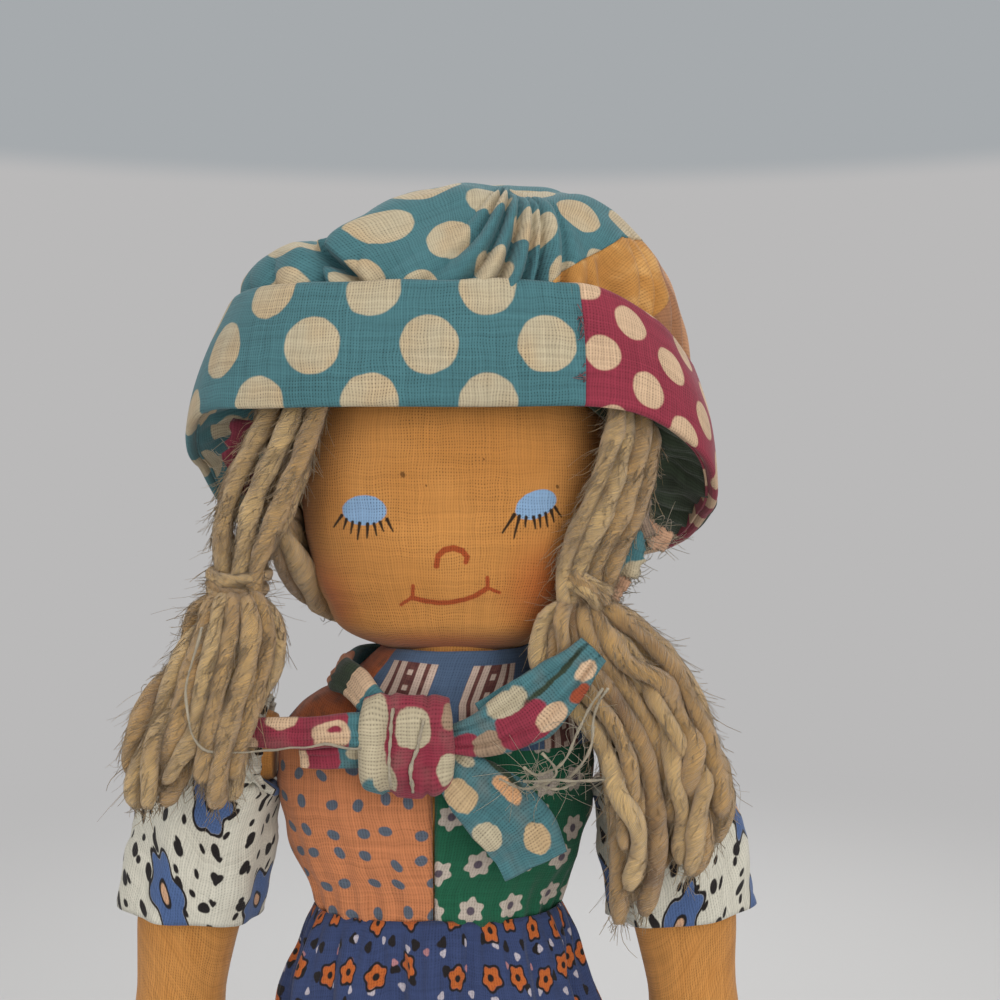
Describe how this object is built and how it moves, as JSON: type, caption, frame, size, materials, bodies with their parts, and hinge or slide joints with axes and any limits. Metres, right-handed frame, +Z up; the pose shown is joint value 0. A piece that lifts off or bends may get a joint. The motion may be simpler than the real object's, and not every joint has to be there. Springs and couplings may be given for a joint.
{
  "type": "rag doll",
  "caption": "Small stuffed patchwork rag doll with yarn pigtails, a neckerchief, a gathered skirt and a puffed cap with a turned-up brim.",
  "frame": {"origin": "middle of the chest, where a hand holds the doll", "axes": "+Z up along the body, the doll faces -Y, its left hand is on +X"},
  "size_m": [0.0816, 0.0492, 0.1774],
  "materials": {
    "muslin": "tan-orange open-weave cotton muslin",
    "yarn": "straw-blonde wool yarn",
    "teal_dots": "teal cotton with large cream dots",
    "maroon_dots": "maroon cotton with small cream dots",
    "mustard": "mustard cotton",
    "tan": "tan cotton",
    "dark_green": "dark green printed lining cotton",
    "orange_print": "orange cotton with blue-grey dots",
    "green_print": "green cotton with small pale flowers",
    "blue_stripe": "blue cotton with brown and white stripes",
    "navy_print": "navy cotton with orange flowers and white spots",
    "white_print": "white cotton with black dots and blue flowers",
    "shoe_felt": "dark brown felt"
  },
  "bodies": {
    "torso": {"torso": "muslin", "bodice_left": "green_print", "bodice_right": "orange_print", "bodice_back": "maroon_dots", "yoke": "blue_stripe", "skirt": "navy_print", "bow_knot": "maroon_dots", "bow_loop": "maroon_dots", "bow_band": "teal_dots", "bow_tail": "teal_dots", "neck_strap": "teal_dots"},
    "neck": {"neck": "muslin"},
    "head": {"head": "muslin", "hair_back": "yarn", "cap_headband": "dark_green", "cap_underside": "dark_green", "brim_teal": "teal_dots", "brim_maroon": "maroon_dots", "brim_mustard": "mustard", "crown_teal": "teal_dots", "crown_mustard": "mustard", "crown_tan": "tan"},
    "left_pigtail": {"left_braid": "yarn", "left_tie": "yarn", "left_tuft": "yarn"},
    "right_pigtail": {"right_braid": "yarn", "right_tie": "yarn", "right_tuft": "yarn"},
    "left_arm": {"left_arm": "muslin", "left_sleeve": "white_print"},
    "right_arm": {"right_arm": "muslin", "right_sleeve": "white_print"},
    "hips": {"hip_strip": "muslin"},
    "left_leg": {"left_leg": "muslin", "left_shoe": "shoe_felt"},
    "right_leg": {"right_leg": "muslin", "right_shoe": "shoe_felt"}
  },
  "joints": [
    {"name": "head_turn", "type": "hinge", "parent": "torso", "child": "neck", "pos_m": [0.0025, 0, 0.0162], "axis": [0, 0, 1], "range_deg": [-30, 30], "deforming": ["left_tuft", "right_tuft"]},
    {"name": "head_nod", "type": "hinge", "parent": "neck", "child": "head", "pos_m": [0.0025, 0, 0.0223], "axis": [1, 0, 0], "range_deg": [-12, 15], "deforming": ["left_tuft", "right_tuft"]},
    {"name": "left_pigtail_swing", "type": "hinge", "parent": "head", "child": "left_pigtail", "pos_m": [0.0233, -0.0104, 0.0438], "axis": [0, -1, 0], "range_deg": [0, 30], "deforming": ["left_tuft"]},
    {"name": "right_pigtail_swing", "type": "hinge", "parent": "head", "child": "right_pigtail", "pos_m": [-0.0185, -0.01, 0.0478], "axis": [0, 1, 0], "range_deg": [0, 30], "deforming": ["right_tuft"]},
    {"name": "left_arm_swing", "type": "hinge", "parent": "torso", "child": "left_arm", "pos_m": [0.0209, 0, 0.0094], "axis": [-1, 0, 0], "range_deg": [-50, 110]},
    {"name": "right_arm_swing", "type": "hinge", "parent": "torso", "child": "right_arm", "pos_m": [-0.0209, 0, 0.0094], "axis": [-1, 0, 0], "range_deg": [-50, 110]},
    {"name": "sit_fold", "type": "hinge", "parent": "torso", "child": "hips", "pos_m": [0, 0, -0.0318], "axis": [-1, 0, 0], "range_deg": [0, 85], "deforming": ["skirt"]},
    {"name": "left_leg_swing", "type": "hinge", "parent": "hips", "child": "left_leg", "pos_m": [0.0087, 0, -0.0372], "axis": [-1, 0, 0], "range_deg": [-15, 15]},
    {"name": "right_leg_swing", "type": "hinge", "parent": "hips", "child": "right_leg", "pos_m": [-0.0087, 0, -0.0372], "axis": [-1, 0, 0], "range_deg": [-15, 15]}
  ]
}
